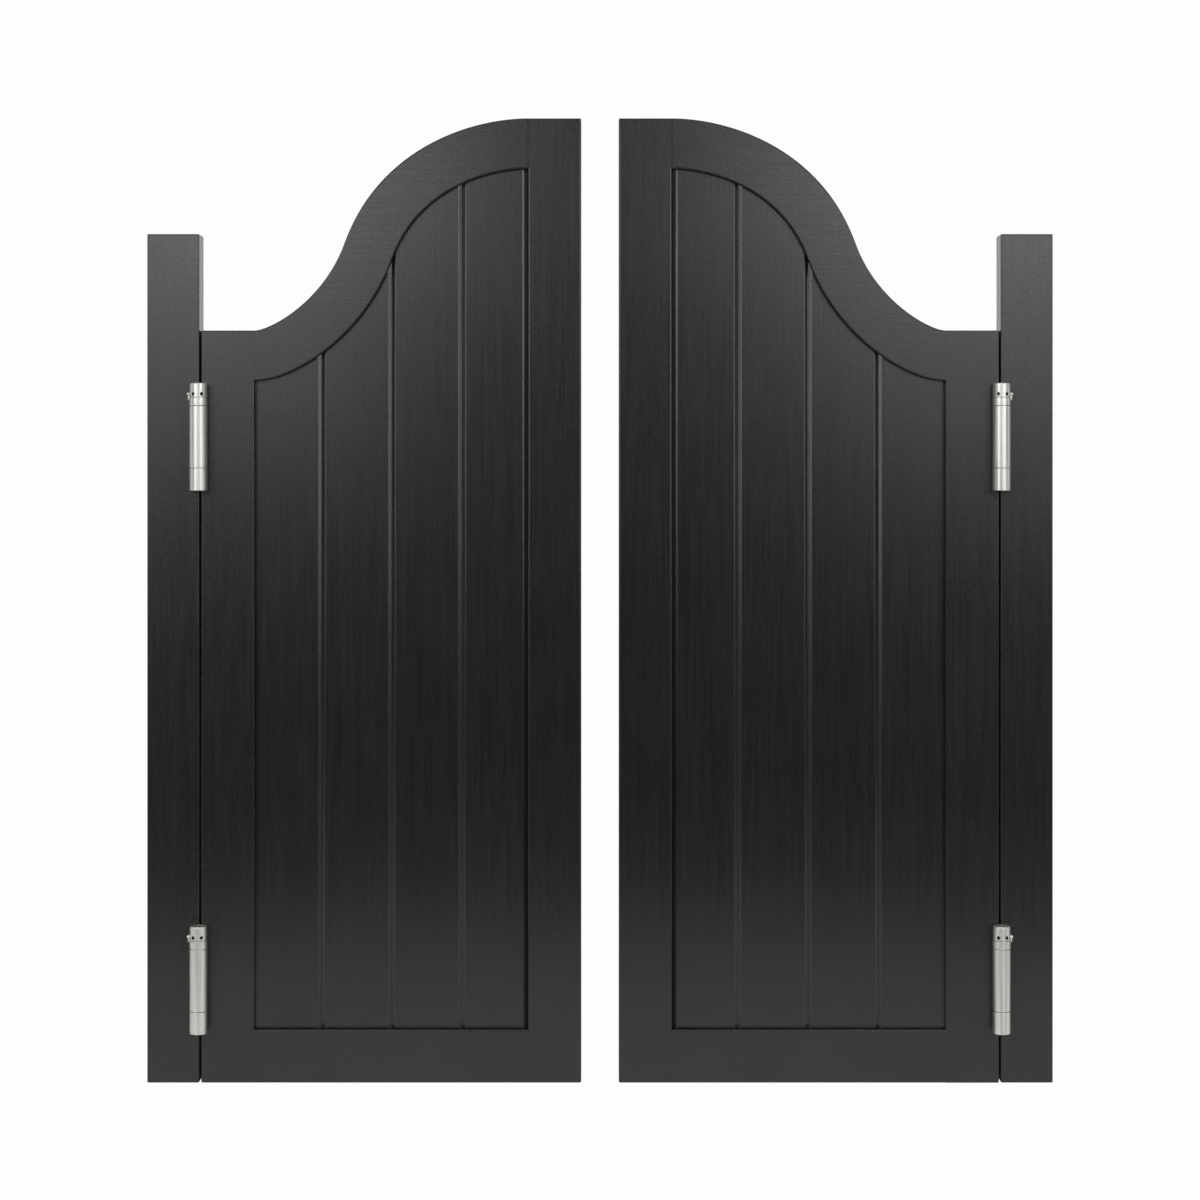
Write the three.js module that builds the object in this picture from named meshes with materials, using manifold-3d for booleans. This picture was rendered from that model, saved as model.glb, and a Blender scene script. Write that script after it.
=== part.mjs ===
// A pair of cafe swinging doors. Two ogee-topped boarded doors, each hung on its own post by two
// double-action spring hinges. Millimetres, X to the right, Y away from the viewer, Z up.
// The origin lies on the bottom line, midway between the doors and in the middle of their thickness.

import * as THREE from 'three';
import { mergeVertices } from 'three/addons/utils/BufferGeometryUtils.js';
import Module from 'manifold-3d';

// Posts and door frames
const POST_WIDTH = 54;
const POST_HEIGHT = 880;
const FRAME_THICKNESS = 30;
const DOOR_WIDTH = 394;
const DOOR_HEIGHT = 1000;
const HINGE_STILE_HEIGHT = 780;
const STILE_WIDTH = 55;
const TOP_RAIL_WIDTH = 52;
const BOTTOM_RAIL_WIDTH = 55;
const MEETING_GAP = 39;

// Ogee of the top rail, as shares of its own run and rise between the stiles
const OGEE_LEAVE = [0.0525, 0];
const OGEE_BELOW_TURN = [0.25, 0.13];
const OGEE_TURN = [0.329, 0.412];
const OGEE_ARRIVE = [0.796, 1];
const OGEE_UPPER_REACH = 1.61;
const OGEE_STEPS = 12;

// Joinery
const TENON_COVER = 20;
const TENON_THICKNESS = 10;
const TENON_SHOULDER = 7;
const GROOVE_DEPTH = 8;
const GLUE_LINE = 0.1;
const FIT_GAP = 0.3;

// Boards of the panel
const BOARD_COUNT = 4;
const BOARD_PITCH = 73;
const BOARD_THICKNESS = 15.5;
const BOARD_CHAMFER = 3.6;
const BOARD_EDGE_BEVEL = 6;
const TONGUE_LENGTH = 6;
const TONGUE_LIP = 1.6;

// Hinge leaves
const LEAF_THICKNESS = 1.5;
const LEAF_SETBACK = 4;
const LEAF_SCREW_COUNT = 4;
const LEAF_SCREW_RADIUS = 2.3;
const LEAF_SCREW_STAGGER = 10;
const LEAF_SCREW_MARGIN = 13;
const SWING_GAP = 0.25;
const UPPER_HINGE_DROP = 55;
const LOWER_HINGE_RISE = 54;

// Hinge barrels
const BARREL_RADIUS = 9.25;
const BARREL_WALL = 1.5;
const BARREL_SIDES = 16;
const FACE_CLEARANCE = 1.75;
const BOTTOM_KNUCKLE_LENGTH = 23;
const TUBE_LENGTH = 64;
const RING_LENGTH = 8.5;
const KNUCKLE_GAP = 0.3;
const RUNNING_GAP = 0.3;
const PIVOT_RECESS = 1.5;
const PLUG_LENGTH = 16;

// Tension collars and their pins
const COLLAR_STEP = 0.25;
const COLLAR_LENGTH = 14.5;
const COLLAR_CHAMFER = 1.2;
const COLLAR_SHANK = 10;
const COLLAR_HOLE_COUNT = 6;
const COLLAR_HOLE_DEPTH = 4;
const COLLAR_HOLE_RISE = 3.2;
const HOLE_SIDES = 6;
const PIN_RADIUS = 1.5;
const PIN_REACH = 3;
const PIN_CHAMFER = 0.4;
const PIN_SIDES = 8;
const STOP_WIDTH = 3;
const STOP_THICKNESS = 2;
const STOP_FOOT = 2.5;

// Torsion springs
const WIRE_RADIUS = 1.3;
const WIRE_SIDES = 5;
const SPRING_PITCH = 4.5;
const SPRING_STEPS_PER_TURN = 8;
const SPRING_WALL_GAP = 0.5;
const SPRING_INSIDE_BEND = 0.9;
const SPRING_BEND_STEPS = 3;
const SPRING_TANG = 4.5;
const SPRING_END_GAP = 1;

// Finishes
const BLACK_PAINT = { color: 0x2b2a28, roughness: 0.5, metalness: 0 };
const SATIN_STEEL = { color: 0xb8b7b3, roughness: 0.32, metalness: 1 };
const BRIGHT_STEEL = { color: 0xcfcdc8, roughness: 0.25, metalness: 1 };
const SPRING_STEEL = { color: 0x6f6e6b, roughness: 0.4, metalness: 1 };

// Sizes that follow from the ones above
const HALF_FRAME = FRAME_THICKNESS / 2;
const HANG_GAP = LEAF_THICKNESS + 2 * SWING_GAP;
const OPENING_LEFT = STILE_WIDTH;
const OPENING_RIGHT = DOOR_WIDTH - STILE_WIDTH;
const OPENING_MIDDLE = DOOR_WIDTH / 2;
const TENON_LENGTH = STILE_WIDTH - TENON_COVER;
const TENON_HALF = TENON_THICKNESS / 2;
const HALF_BOARD = BOARD_THICKNESS / 2;
const EDGE_TONGUE_THICKNESS = BOARD_THICKNESS - 2 * BOARD_CHAMFER;
const TONGUE_THICKNESS = EDGE_TONGUE_THICKNESS - 2 * (TONGUE_LIP + FIT_GAP);
const LEAF_WIDTH = FRAME_THICKNESS - LEAF_SETBACK;
const BORE_RADIUS = BARREL_RADIUS - BARREL_WALL;
const MID_WALL_RADIUS = BARREL_RADIUS - BARREL_WALL / 2;
const JOURNAL_RADIUS = BORE_RADIUS * Math.cos(Math.PI / BARREL_SIDES) - RUNNING_GAP;
const BARREL_OFFSET = HALF_FRAME + FACE_CLEARANCE + BARREL_RADIUS;
const TUBE_BASE = BOTTOM_KNUCKLE_LENGTH + KNUCKLE_GAP;
const TUBE_TOP = TUBE_BASE + TUBE_LENGTH;
const RING_BASE = TUBE_TOP + KNUCKLE_GAP;
const LEAF_HEIGHT = RING_BASE + RING_LENGTH;
const COLLAR_BASE = LEAF_HEIGHT + KNUCKLE_GAP;
const COLLAR_TOP = COLLAR_BASE + COLLAR_LENGTH;
const COLLAR_RADIUS = BARREL_RADIUS - COLLAR_STEP;
const COLLAR_HOLE_HEIGHT = COLLAR_BASE + COLLAR_HOLE_RISE;
const COLLAR_HOLE_RADIUS = (PIN_RADIUS + RUNNING_GAP) / Math.cos(Math.PI / HOLE_SIDES);
const SHANK_BOTTOM = TUBE_TOP - COLLAR_SHANK;
const PLUG_TOP = TUBE_BASE + PLUG_LENGTH;
const SPRING_RADIUS = BORE_RADIUS - SPRING_WALL_GAP - WIRE_RADIUS;
const SPRING_BEND = SPRING_INSIDE_BEND + WIRE_RADIUS;
const SPRING_BASE = PLUG_TOP + SPRING_END_GAP;
const SPRING_TOP = SHANK_BOTTOM - SPRING_END_GAP;
const SPRING_RISE = SPRING_TOP - SPRING_BASE - 2 * SPRING_BEND;
const SPRING_TURNS = Math.floor(SPRING_RISE / SPRING_PITCH);
const STOP_INNER_RADIUS = BARREL_RADIUS + RUNNING_GAP;
const STOP_OUTER_RADIUS = STOP_INNER_RADIUS + STOP_THICKNESS;
const PIN_HEADING = Math.PI;
const HINGE_BASES = {
  upper: HINGE_STILE_HEIGHT - UPPER_HINGE_DROP - COLLAR_TOP,
  lower: LOWER_HINGE_RISE,
};

const wasm = await Module();
wasm.setup();

// A closed geometry with shared corners merged and collapsed triangles taken out
function closedGeometry(geometry) {
  const bare = geometry.clone();
  bare.deleteAttribute('normal');
  bare.deleteAttribute('uv');
  const merged = mergeVertices(bare);
  const corners = [];
  const index = merged.index.array;
  for (let i = 0; i < index.length; i += 3) {
    const [a, b, c] = [index[i], index[i + 1], index[i + 2]];
    if (a !== b && b !== c && c !== a) corners.push(a, b, c);
  }
  merged.setIndex(corners);
  return merged;
}

function solidOf(geometry) {
  const closed = closedGeometry(geometry);
  return new wasm.Manifold(new wasm.Mesh({
    numProp: 3,
    vertProperties: new Float32Array(closed.attributes.position.array),
    triVerts: new Uint32Array(closed.index.array),
  }));
}

function geometryOf(solid) {
  const { numProp, vertProperties, triVerts } = solid.getMesh();
  const geometry = new THREE.BufferGeometry();
  geometry.setAttribute('position', new THREE.BufferAttribute(vertProperties, numProp));
  geometry.setIndex(new THREE.BufferAttribute(triVerts, 1));
  geometry.computeVertexNormals();
  return geometry;
}

function joined(solids) {
  return solids.reduce((whole, solid) => whole.add(solid));
}

function cutFrom(solid, cutters) {
  return cutters.reduce((rest, cutter) => rest.subtract(cutter), solid);
}

// A square-cornered block between two opposite corners
function block([x0, x1], [y0, y1], [z0, z1]) {
  const geometry = new THREE.BoxGeometry(x1 - x0, y1 - y0, z1 - z0);
  geometry.translate((x0 + x1) / 2, (y0 + y1) / 2, (z0 + z1) / 2);
  return solidOf(geometry);
}

// An outline drawn in the door's face, as thick as asked and centred in the frame's thickness
function facePlate(points, thickness) {
  const shape = new THREE.Shape(points);
  const geometry = new THREE.ExtrudeGeometry(shape, { depth: thickness, bevelEnabled: false });
  geometry.translate(0, 0, -thickness / 2);
  geometry.rotateX(Math.PI / 2);
  return solidOf(geometry);
}

// A profile of radius and height, turned about an upright axis
function turned(profile, sides) {
  const points = profile.map(([radius, height]) => new THREE.Vector2(radius, height));
  const geometry = new THREE.LatheGeometry(points, sides);
  geometry.rotateX(Math.PI / 2);
  return geometry;
}

// A round bar square to the upright axis, lying along a heading
function radialBar(radius, sides, [start, end], heading, height) {
  const geometry = new THREE.CylinderGeometry(radius, radius, end - start, sides);
  geometry.rotateZ(-Math.PI / 2);
  geometry.translate((start + end) / 2, 0, 0);
  geometry.rotateZ(heading);
  geometry.translate(0, 0, height);
  return geometry;
}

function uprightBar(radius, sides, x, y, [z0, z1]) {
  const geometry = new THREE.CylinderGeometry(radius, radius, z1 - z0, sides);
  geometry.rotateX(Math.PI / 2);
  geometry.translate(x, y, (z0 + z1) / 2);
  return geometry;
}

function crossBar(radius, sides, [x0, x1], y, z) {
  const geometry = new THREE.CylinderGeometry(radius, radius, x1 - x0, sides);
  geometry.rotateZ(-Math.PI / 2);
  geometry.translate((x0 + x1) / 2, y, z);
  return geometry;
}

function piece(name, geometry, finish) {
  const mesh = new THREE.Mesh(geometry, new THREE.MeshStandardMaterial({ ...finish, flatShading: true }));
  mesh.name = name;
  return mesh;
}

// The two halves of the ogee, from the hinge stile up to the meeting stile
function ogeeCurves() {
  const start = new THREE.Vector2(OPENING_LEFT + GLUE_LINE, HINGE_STILE_HEIGHT);
  const end = new THREE.Vector2(OPENING_RIGHT - GLUE_LINE, DOOR_HEIGHT);
  const span = end.clone().sub(start);
  const at = ([run, rise]) => new THREE.Vector2(run, rise).multiply(span).add(start);
  const turn = at(OGEE_TURN);
  const below = at(OGEE_BELOW_TURN);
  const above = turn.clone().sub(below).multiplyScalar(OGEE_UPPER_REACH).add(turn);
  return [
    new THREE.CubicBezierCurve(start, at(OGEE_LEAVE), below, turn),
    new THREE.CubicBezierCurve(turn, above, at(OGEE_ARRIVE), end),
  ];
}

// Points along the ogee, moved square to it towards the panel
function ogeePoints(inset) {
  const [lower, upper] = ogeeCurves();
  const along = (curve, step) => {
    const share = step / OGEE_STEPS;
    const heading = curve.getTangent(share);
    return curve.getPoint(share).add(new THREE.Vector2(heading.y, -heading.x).multiplyScalar(inset));
  };
  const points = [];
  for (let step = 0; step <= OGEE_STEPS; step += 1) points.push(along(lower, step));
  for (let step = 1; step <= OGEE_STEPS; step += 1) points.push(along(upper, step));
  return points;
}

// Outline of the panel, let into the frame all round by a depth
function panelOutline(depth) {
  const top = ogeePoints(TOP_RAIL_WIDTH - depth);
  const left = OPENING_LEFT - depth;
  const right = OPENING_RIGHT + depth;
  const bottom = BOTTOM_RAIL_WIDTH - depth;
  return [
    new THREE.Vector2(left, top[0].y),
    new THREE.Vector2(left, bottom),
    new THREE.Vector2(right, bottom),
    new THREE.Vector2(right, top.at(-1).y),
    ...top.reverse(),
  ];
}

// Heights of the tenons: the outer edge of a rail less its shoulder, clear of the panel groove
function topTenonHeights(railTop) {
  const grooveTop = railTop - TOP_RAIL_WIDTH + GROOVE_DEPTH + FIT_GAP;
  return [grooveTop + TENON_SHOULDER, railTop - TENON_SHOULDER];
}

function bottomTenonHeights() {
  const grooveBottom = BOTTOM_RAIL_WIDTH - GROOVE_DEPTH - FIT_GAP;
  return [TENON_SHOULDER, grooveBottom - TENON_SHOULDER];
}

// Each tenon is rooted in its rail as deep as its shoulder is wide
function hingeTenon(heights) {
  const ends = [OPENING_LEFT - TENON_LENGTH, OPENING_LEFT + TENON_SHOULDER];
  return block(ends, [-TENON_HALF, TENON_HALF], heights);
}

function meetingTenon(heights) {
  const ends = [OPENING_RIGHT - TENON_SHOULDER, OPENING_RIGHT + TENON_LENGTH];
  return block(ends, [-TENON_HALF, TENON_HALF], heights);
}

function panelPocket() {
  return facePlate(panelOutline(GROOVE_DEPTH + FIT_GAP), BOARD_THICKNESS + 2 * FIT_GAP);
}

function topRail() {
  const outline = [...ogeePoints(0), ...ogeePoints(TOP_RAIL_WIDTH).reverse()];
  const rail = joined([
    facePlate(outline, FRAME_THICKNESS),
    hingeTenon(topTenonHeights(HINGE_STILE_HEIGHT)),
    meetingTenon(topTenonHeights(DOOR_HEIGHT)),
  ]);
  return geometryOf(rail.subtract(panelPocket()));
}

function bottomRail() {
  const body = block(
    [OPENING_LEFT + GLUE_LINE, OPENING_RIGHT - GLUE_LINE],
    [-HALF_FRAME, HALF_FRAME],
    [0, BOTTOM_RAIL_WIDTH],
  );
  const rail = joined([body, hingeTenon(bottomTenonHeights()), meetingTenon(bottomTenonHeights())]);
  return geometryOf(rail.subtract(panelPocket()));
}

// Blind mortise from a stile's inner edge; side is +1 where the panel lies to the right.
// This and the other cuts run past the face that they open on by the fit gap.
function mortise(innerEdge, side, [z0, z1]) {
  const depth = TENON_LENGTH + FIT_GAP;
  const ends = [innerEdge - side * depth, innerEdge + side * FIT_GAP].sort((a, b) => a - b);
  const half = TENON_HALF + FIT_GAP;
  return block(ends, [-half, half], [z0 - FIT_GAP, z1 + FIT_GAP]);
}

// Groove for the edge tongue of an outer board
function edgeGroove(innerEdge, side, openingTop) {
  const depth = GROOVE_DEPTH + FIT_GAP;
  const ends = [innerEdge - side * depth, innerEdge + side * FIT_GAP].sort((a, b) => a - b);
  const half = EDGE_TONGUE_THICKNESS / 2 + FIT_GAP;
  return block(ends, [-half, half], [BOTTOM_RAIL_WIDTH - depth, openingTop + depth]);
}

// Shallow recess that lets a hinge leaf in flush; it opens on the face where the leaf's barrel stands
function leafRecess([x0, x1], faceSide, hingeBase) {
  const depths = [
    faceSide * (HALF_FRAME + FIT_GAP),
    faceSide * (HALF_FRAME - LEAF_WIDTH - FIT_GAP),
  ].sort((a, b) => a - b);
  return block([x0, x1], depths, [hingeBase - FIT_GAP, hingeBase + LEAF_HEIGHT + FIT_GAP]);
}

function post() {
  const innerSide = -HANG_GAP;
  const body = block([innerSide - POST_WIDTH, innerSide], [-HALF_FRAME, HALF_FRAME], [0, POST_HEIGHT]);
  const recessEnds = [innerSide - LEAF_THICKNESS - FIT_GAP, innerSide + FIT_GAP];
  const recesses = Object.values(HINGE_BASES).map((base) => leafRecess(recessEnds, -1, base));
  return geometryOf(cutFrom(body, recesses));
}

function hingeStile() {
  const body = block([0, STILE_WIDTH], [-HALF_FRAME, HALF_FRAME], [0, HINGE_STILE_HEIGHT]);
  const recessEnds = [-FIT_GAP, LEAF_THICKNESS + FIT_GAP];
  const recesses = Object.values(HINGE_BASES).map((base) => leafRecess(recessEnds, 1, base));
  return geometryOf(cutFrom(body, [
    ...recesses,
    mortise(OPENING_LEFT, 1, topTenonHeights(HINGE_STILE_HEIGHT)),
    mortise(OPENING_LEFT, 1, bottomTenonHeights()),
    edgeGroove(OPENING_LEFT, 1, HINGE_STILE_HEIGHT - TOP_RAIL_WIDTH),
  ]));
}

function meetingStile() {
  const body = block([OPENING_RIGHT, DOOR_WIDTH], [-HALF_FRAME, HALF_FRAME], [0, DOOR_HEIGHT]);
  return geometryOf(cutFrom(body, [
    mortise(OPENING_RIGHT, -1, topTenonHeights(DOOR_HEIGHT)),
    mortise(OPENING_RIGHT, -1, bottomTenonHeights()),
    edgeGroove(OPENING_RIGHT, -1, DOOR_HEIGHT - TOP_RAIL_WIDTH),
  ]));
}

// Half of a board's edge section, from the middle of its thickness out to its face.
// Each point is a distance past the edge line and a distance from the middle.
const BOARD_EDGES = {
  stile: [
    [GROOVE_DEPTH, HALF_BOARD - BOARD_CHAMFER],
    [0, HALF_BOARD - BOARD_CHAMFER],
    [-BOARD_EDGE_BEVEL, HALF_BOARD],
  ],
  tongue: [
    [TONGUE_LENGTH, TONGUE_THICKNESS / 2],
    [0, TONGUE_THICKNESS / 2],
    [0, HALF_BOARD - BOARD_CHAMFER],
    [-BOARD_CHAMFER, HALF_BOARD],
  ],
  groove: [
    [-TONGUE_LENGTH - FIT_GAP, TONGUE_THICKNESS / 2 + FIT_GAP],
    [0, TONGUE_THICKNESS / 2 + FIT_GAP],
    [0, HALF_BOARD - BOARD_CHAMFER],
    [-BOARD_CHAMFER, HALF_BOARD],
  ],
};

// One side of a board's section, from its front face round its edge to its back face
function boardEdge(kind, edge, side) {
  const back = BOARD_EDGES[kind].map(([past, rise]) => new THREE.Vector2(edge + side * past, rise));
  const front = back.map((point) => new THREE.Vector2(point.x, -point.y)).reverse();
  return [...front, ...back];
}

// A board stands in its grooves and ends under the ogee
function board(number) {
  const first = number === 1;
  const last = number === BOARD_COUNT;
  const joint = (place) => OPENING_MIDDLE + (place - BOARD_COUNT / 2) * BOARD_PITCH;
  const left = first ? OPENING_LEFT : joint(number - 1) + FIT_GAP / 2;
  const right = last ? OPENING_RIGHT : joint(number) - FIT_GAP / 2;
  const section = new THREE.Shape([
    ...boardEdge(last ? 'stile' : 'tongue', right, 1),
    ...boardEdge(first ? 'stile' : 'groove', left, -1).reverse(),
  ]);
  const geometry = new THREE.ExtrudeGeometry(section, { depth: DOOR_HEIGHT, bevelEnabled: false });
  const panel = facePlate(panelOutline(GROOVE_DEPTH), FRAME_THICKNESS);
  return geometryOf(solidOf(geometry).intersect(panel));
}

// Places of the screw holes up a leaf, staggered from side to side, in the leaf's own depth and height
function leafScrewPlaces() {
  const spacing = (LEAF_HEIGHT - 2 * LEAF_SCREW_MARGIN) / (LEAF_SCREW_COUNT - 1);
  const middle = LEAF_WIDTH / 2 - HALF_FRAME;
  return Array.from({ length: LEAF_SCREW_COUNT }, (_, place) => ({
    depth: middle + (place % 2 === 0 ? -1 : 1) * LEAF_SCREW_STAGGER / 2,
    height: LEAF_SCREW_MARGIN + place * spacing,
  }));
}

function barrelRing([z0, z1]) {
  const ring = turned([
    [BORE_RADIUS, z0],
    [BARREL_RADIUS, z0],
    [BARREL_RADIUS, z1],
    [BORE_RADIUS, z1],
    [BORE_RADIUS, z0],
  ], BARREL_SIDES);
  ring.translate(0, -BARREL_OFFSET, 0);
  return solidOf(ring);
}

// Upright lug on the top ring that the tension pin bears on
function pinStop() {
  const reach = (COLLAR_RADIUS + STOP_OUTER_RADIUS) / 2;
  const heading = PIN_HEADING - (PIN_RADIUS + SWING_GAP + STOP_WIDTH / 2) / reach;
  const width = [-STOP_WIDTH / 2, STOP_WIDTH / 2];
  const foot = block([MID_WALL_RADIUS, STOP_OUTER_RADIUS], width, [LEAF_HEIGHT - STOP_FOOT, LEAF_HEIGHT]);
  const lugTop = COLLAR_HOLE_HEIGHT + PIN_RADIUS;
  const lug = block([STOP_INNER_RADIUS, STOP_OUTER_RADIUS], width, [LEAF_HEIGHT - STOP_FOOT, lugTop]);
  const geometry = geometryOf(foot.add(lug));
  geometry.rotateZ(heading);
  geometry.translate(0, -BARREL_OFFSET, 0);
  return solidOf(geometry);
}

// Outer leaf of a hinge, with the bottom knuckle and the top ring of its barrel
function outerLeaf() {
  const plateEnds = [-HANG_GAP / 2 - LEAF_THICKNESS, -HANG_GAP / 2];
  const earDepths = [MID_WALL_RADIUS - BARREL_OFFSET, LEAF_THICKNESS - HALF_FRAME];
  const knuckles = [[0, BOTTOM_KNUCKLE_LENGTH], [RING_BASE, LEAF_HEIGHT]];
  const leaf = joined([
    block(plateEnds, [-HALF_FRAME, LEAF_WIDTH - HALF_FRAME], [0, LEAF_HEIGHT]),
    ...knuckles.map((heights) => block(plateEnds, earDepths, heights)),
    ...knuckles.map(barrelRing),
    pinStop(),
  ]);
  const drillEnds = [plateEnds[0] - FIT_GAP, plateEnds[1] + FIT_GAP];
  const holes = leafScrewPlaces().map(({ depth, height }) => (
    solidOf(crossBar(LEAF_SCREW_RADIUS, HOLE_SIDES, drillEnds, depth, height))
  ));
  return geometryOf(cutFrom(leaf, holes));
}

// Long tube of a barrel with the pivot at its foot that turns in the bottom knuckle
function longTube() {
  const tube = turned([
    [0, PIVOT_RECESS],
    [JOURNAL_RADIUS, PIVOT_RECESS],
    [JOURNAL_RADIUS, TUBE_BASE],
    [BARREL_RADIUS, TUBE_BASE],
    [BARREL_RADIUS, TUBE_TOP],
    [BORE_RADIUS, TUBE_TOP],
    [BORE_RADIUS, PLUG_TOP],
    [0, PLUG_TOP],
  ], BARREL_SIDES);
  const socket = tangSocket(springEnds().bottom, [PLUG_TOP - SPRING_TANG, PLUG_TOP + FIT_GAP]);
  const drilled = geometryOf(solidOf(tube).subtract(socket));
  drilled.translate(0, -BARREL_OFFSET, 0);
  return drilled;
}

// Middle leaf of a hinge, which lies in the gap and carries a long tube at each face of the door
function centreLeaf() {
  const plateEnds = [-LEAF_THICKNESS / 2, LEAF_THICKNESS / 2];
  const reach = BARREL_OFFSET - MID_WALL_RADIUS;
  const rearTube = longTube();
  rearTube.rotateZ(Math.PI);
  return geometryOf(joined([
    block(plateEnds, [-HALF_FRAME, HALF_FRAME], [0, LEAF_HEIGHT]),
    block(plateEnds, [-reach, reach], [TUBE_BASE, TUBE_TOP]),
    solidOf(longTube()),
    solidOf(rearTube),
  ]));
}

function tangSocket(heading, heights) {
  const x = SPRING_RADIUS * Math.cos(heading);
  const y = SPRING_RADIUS * Math.sin(heading);
  return solidOf(uprightBar(WIRE_RADIUS + FIT_GAP, PIN_SIDES, x, y, heights));
}

// Collar that winds the spring: a capped sleeve with radial holes, over a shank that reaches the spring
function tensionCollar() {
  const body = solidOf(turned([
    [0, SHANK_BOTTOM],
    [JOURNAL_RADIUS, SHANK_BOTTOM],
    [JOURNAL_RADIUS, COLLAR_BASE],
    [COLLAR_RADIUS, COLLAR_BASE],
    [COLLAR_RADIUS, COLLAR_TOP - COLLAR_CHAMFER],
    [COLLAR_RADIUS - COLLAR_CHAMFER, COLLAR_TOP],
    [0, COLLAR_TOP],
  ], BARREL_SIDES));
  const drill = [COLLAR_RADIUS - COLLAR_HOLE_DEPTH, COLLAR_RADIUS + FIT_GAP];
  const holes = Array.from({ length: COLLAR_HOLE_COUNT }, (_, place) => {
    const heading = PIN_HEADING + place * 2 * Math.PI / COLLAR_HOLE_COUNT;
    return solidOf(radialBar(COLLAR_HOLE_RADIUS, HOLE_SIDES, drill, heading, COLLAR_HOLE_HEIGHT));
  });
  const socket = tangSocket(springEnds().top, [SHANK_BOTTOM - FIT_GAP, SHANK_BOTTOM + SPRING_TANG]);
  const collar = geometryOf(cutFrom(body, [...holes, socket]));
  collar.translate(0, -BARREL_OFFSET, 0);
  return collar;
}

function tensionPin() {
  const start = COLLAR_RADIUS - COLLAR_HOLE_DEPTH + FIT_GAP;
  const end = COLLAR_RADIUS + PIN_REACH;
  const pin = turned([
    [0, start],
    [PIN_RADIUS, start],
    [PIN_RADIUS, end - PIN_CHAMFER],
    [PIN_RADIUS - PIN_CHAMFER, end],
    [0, end],
  ], PIN_SIDES);
  pin.rotateY(Math.PI / 2);
  pin.rotateZ(PIN_HEADING);
  pin.translate(0, -BARREL_OFFSET, COLLAR_HOLE_HEIGHT);
  return closedGeometry(pin);
}

// The wire's course round the spring's cylinder, as distances along the circle and heights:
// a straight tang, a bend, the turns, a bend and the other tang
function springCourse() {
  const tang = SPRING_TANG + SPRING_END_GAP - FIT_GAP;
  const turnsLength = 2 * Math.PI * SPRING_RADIUS * SPRING_TURNS;
  const steps = SPRING_TURNS * SPRING_STEPS_PER_TURN;
  const lowerBend = (turn) => [
    SPRING_BEND * (1 - Math.cos(turn)),
    SPRING_BASE + SPRING_BEND * Math.sin(turn),
  ];
  const middle = (step) => [
    SPRING_BEND + turnsLength * step / steps,
    SPRING_BASE + SPRING_BEND + SPRING_RISE * step / steps,
  ];
  const course = [[0, SPRING_BASE - tang]];
  for (let i = 0; i < SPRING_BEND_STEPS; i += 1) {
    course.push(lowerBend(i * Math.PI / 2 / SPRING_BEND_STEPS));
  }
  for (let step = 0; step <= steps; step += 1) course.push(middle(step));
  const [length, height] = [turnsLength + 2 * SPRING_BEND, SPRING_BASE + SPRING_TOP];
  const lowerEnd = course.slice(0, SPRING_BEND_STEPS + 1).reverse();
  return [...course, ...lowerEnd.map(([along, rise]) => [length - along, height - rise])];
}

function springEnds() {
  const length = springCourse().at(-1)[0];
  return { bottom: 0, top: length / SPRING_RADIUS };
}

function springCentreline() {
  return springCourse().map(([along, height]) => {
    const heading = along / SPRING_RADIUS;
    return new THREE.Vector3(
      SPRING_RADIUS * Math.cos(heading),
      SPRING_RADIUS * Math.sin(heading),
      height,
    );
  });
}

// Direction of the wire at each point of its centreline
function headings(points) {
  return points.map((point, i) => {
    const before = points[Math.max(i - 1, 0)];
    const after = points[Math.min(i + 1, points.length - 1)];
    return after.clone().sub(before).normalize();
  });
}

// A closed wire of even thickness round a centreline, with its rings carried along without twist
function wireGeometry(points) {
  const directions = headings(points);
  const side = new THREE.Vector3(1, 0, 0);
  const vertices = [];
  points.forEach((point, i) => {
    side.addScaledVector(directions[i], -side.dot(directions[i])).normalize();
    const across = directions[i].clone().cross(side);
    for (let k = 0; k < WIRE_SIDES; k += 1) {
      const turn = 2 * Math.PI * k / WIRE_SIDES;
      const corner = point.clone();
      corner.addScaledVector(side, WIRE_RADIUS * Math.cos(turn));
      corner.addScaledVector(across, WIRE_RADIUS * Math.sin(turn));
      vertices.push(...corner.toArray());
    }
  });
  const geometry = new THREE.BufferGeometry();
  geometry.setAttribute('position', new THREE.Float32BufferAttribute(vertices, 3));
  geometry.setIndex(wireIndex(points.length));
  return geometry;
}

function wireIndex(rings) {
  const corner = (ring, k) => ring * WIRE_SIDES + k % WIRE_SIDES;
  const index = [];
  for (let ring = 0; ring < rings - 1; ring += 1) {
    for (let k = 0; k < WIRE_SIDES; k += 1) {
      index.push(corner(ring, k), corner(ring, k + 1), corner(ring + 1, k + 1));
      index.push(corner(ring, k), corner(ring + 1, k + 1), corner(ring + 1, k));
    }
  }
  for (let k = 1; k < WIRE_SIDES - 1; k += 1) {
    index.push(corner(0, 0), corner(0, k + 1), corner(0, k));
    index.push(corner(rings - 1, 0), corner(rings - 1, k), corner(rings - 1, k + 1));
  }
  return index;
}

// Least clear space between one turn of the wire and the next, measured between centreline points
function leastGap(points) {
  let least = Infinity;
  const apart = SPRING_STEPS_PER_TURN / 2;
  points.forEach((point, i) => {
    for (const other of points.slice(i + apart)) {
      least = Math.min(least, point.distanceTo(other) - 2 * WIRE_RADIUS);
    }
  });
  return least;
}

function torsionSpring() {
  const points = springCentreline();
  console.log(`spring: least gap between turns ${leastGap(points).toFixed(2)} mm`);
  const spring = wireGeometry(points);
  spring.translate(0, -BARREL_OFFSET, 0);
  return spring;
}

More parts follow.
